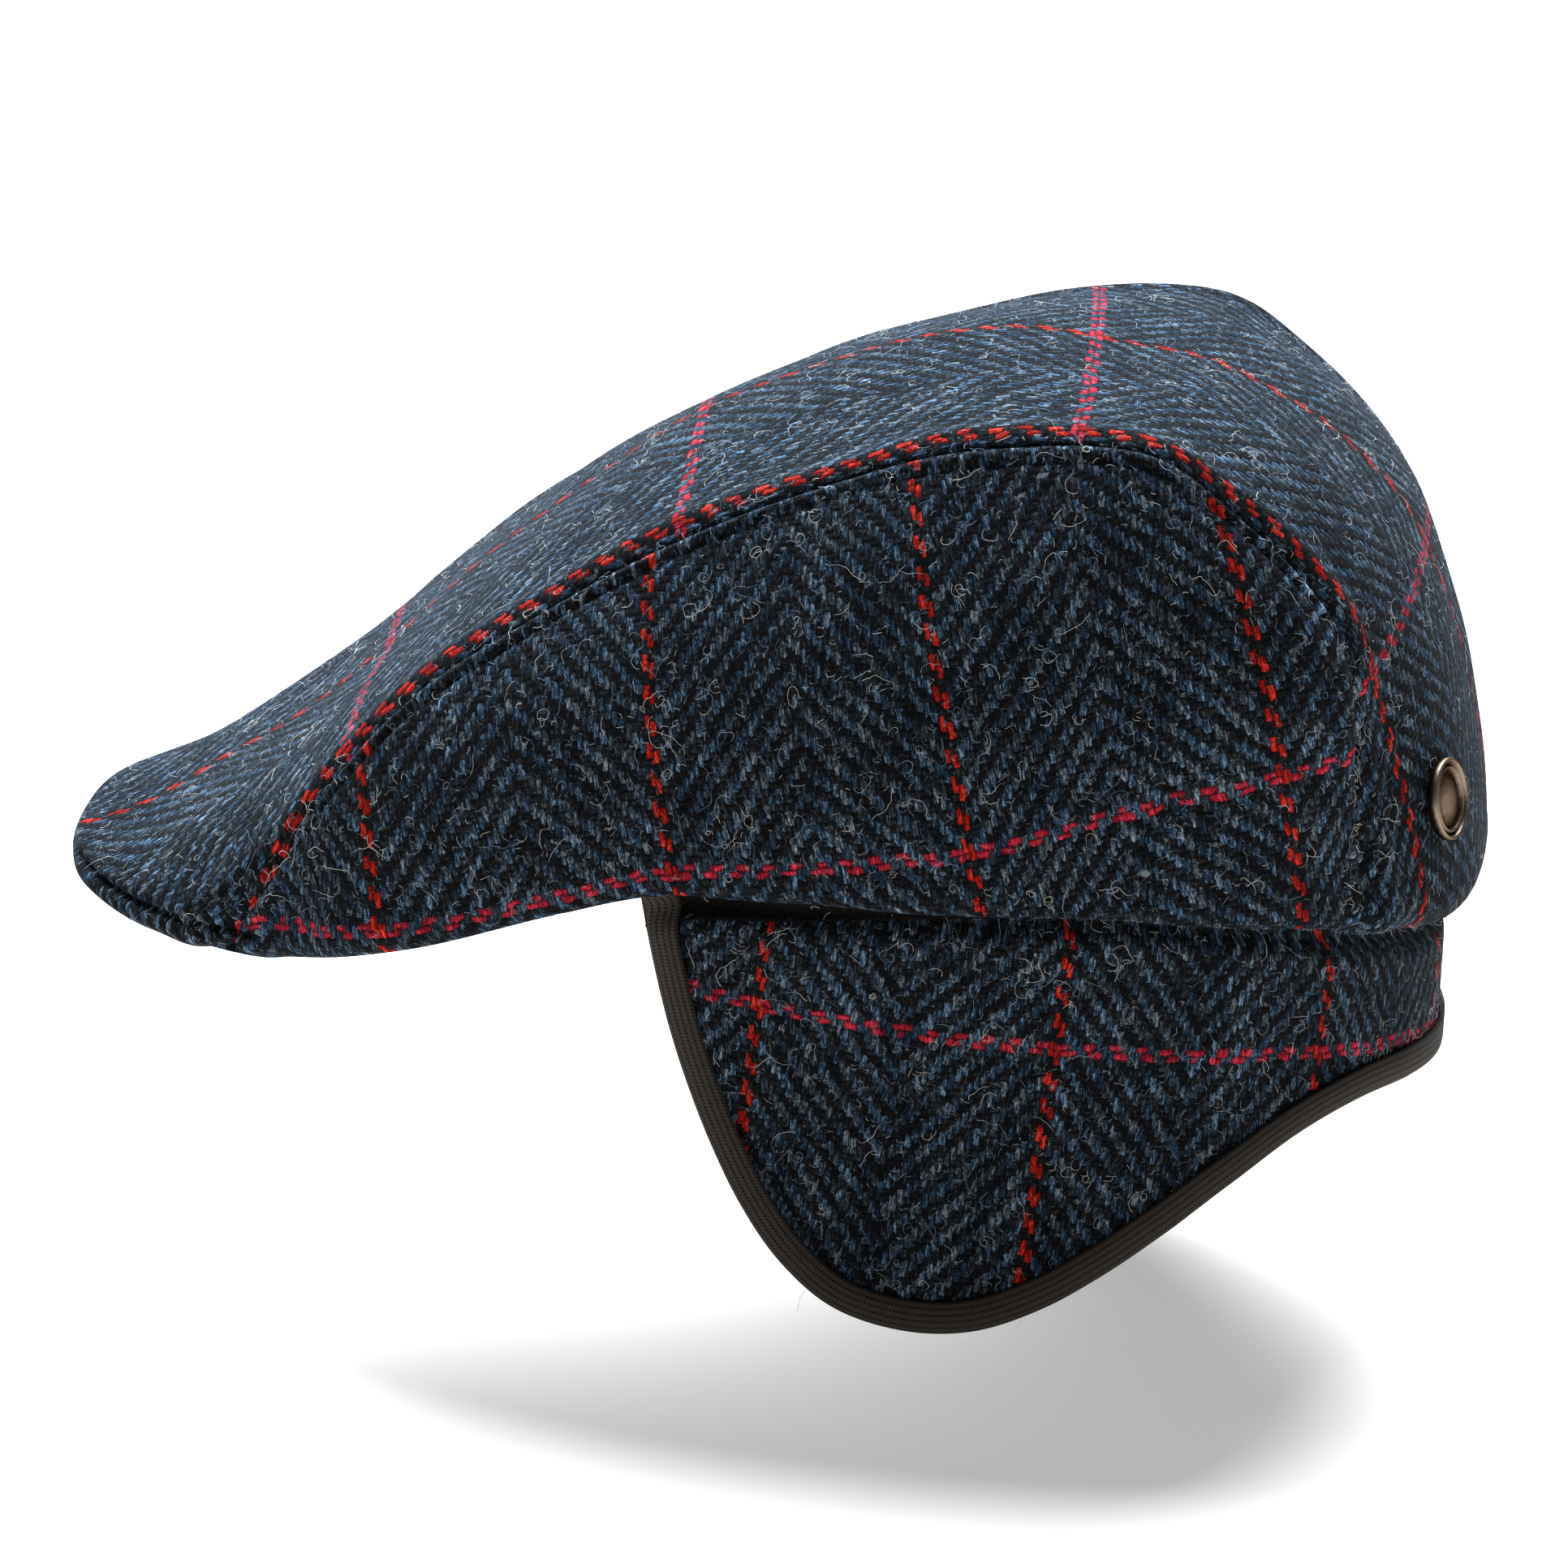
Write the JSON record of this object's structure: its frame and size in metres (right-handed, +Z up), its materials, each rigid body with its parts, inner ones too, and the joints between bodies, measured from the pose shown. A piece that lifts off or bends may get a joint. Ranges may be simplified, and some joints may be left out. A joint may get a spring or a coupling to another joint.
{
  "type": "flat cap",
  "caption": "Padded tweed flat cap with a short stiff peak and an earflap band folded down round the ears and neck.",
  "frame": {"origin": "middle of the head opening, level with the hem at the wearer's sides", "axes": "+X to the wearer's left, -Y to the front where the peak is, +Z up"},
  "size_m": [0.179, 0.2714, 0.1753],
  "materials": {
    "tweed": "woolly herringbone weave in slate blue and black with a red overcheck",
    "tape": "near-black ribbed woven tape, matt",
    "badge_metal": "antique gunmetal-brown plating, worn bright on its rims"
  },
  "bodies": {
    "root": {"top_panel": "tweed", "side_panel_left": "tweed", "side_panel_right": "tweed", "peak_underside": "tweed", "earflap_band": "tweed", "binding": "tape", "badge": "badge_metal"}
  },
  "joints": []
}
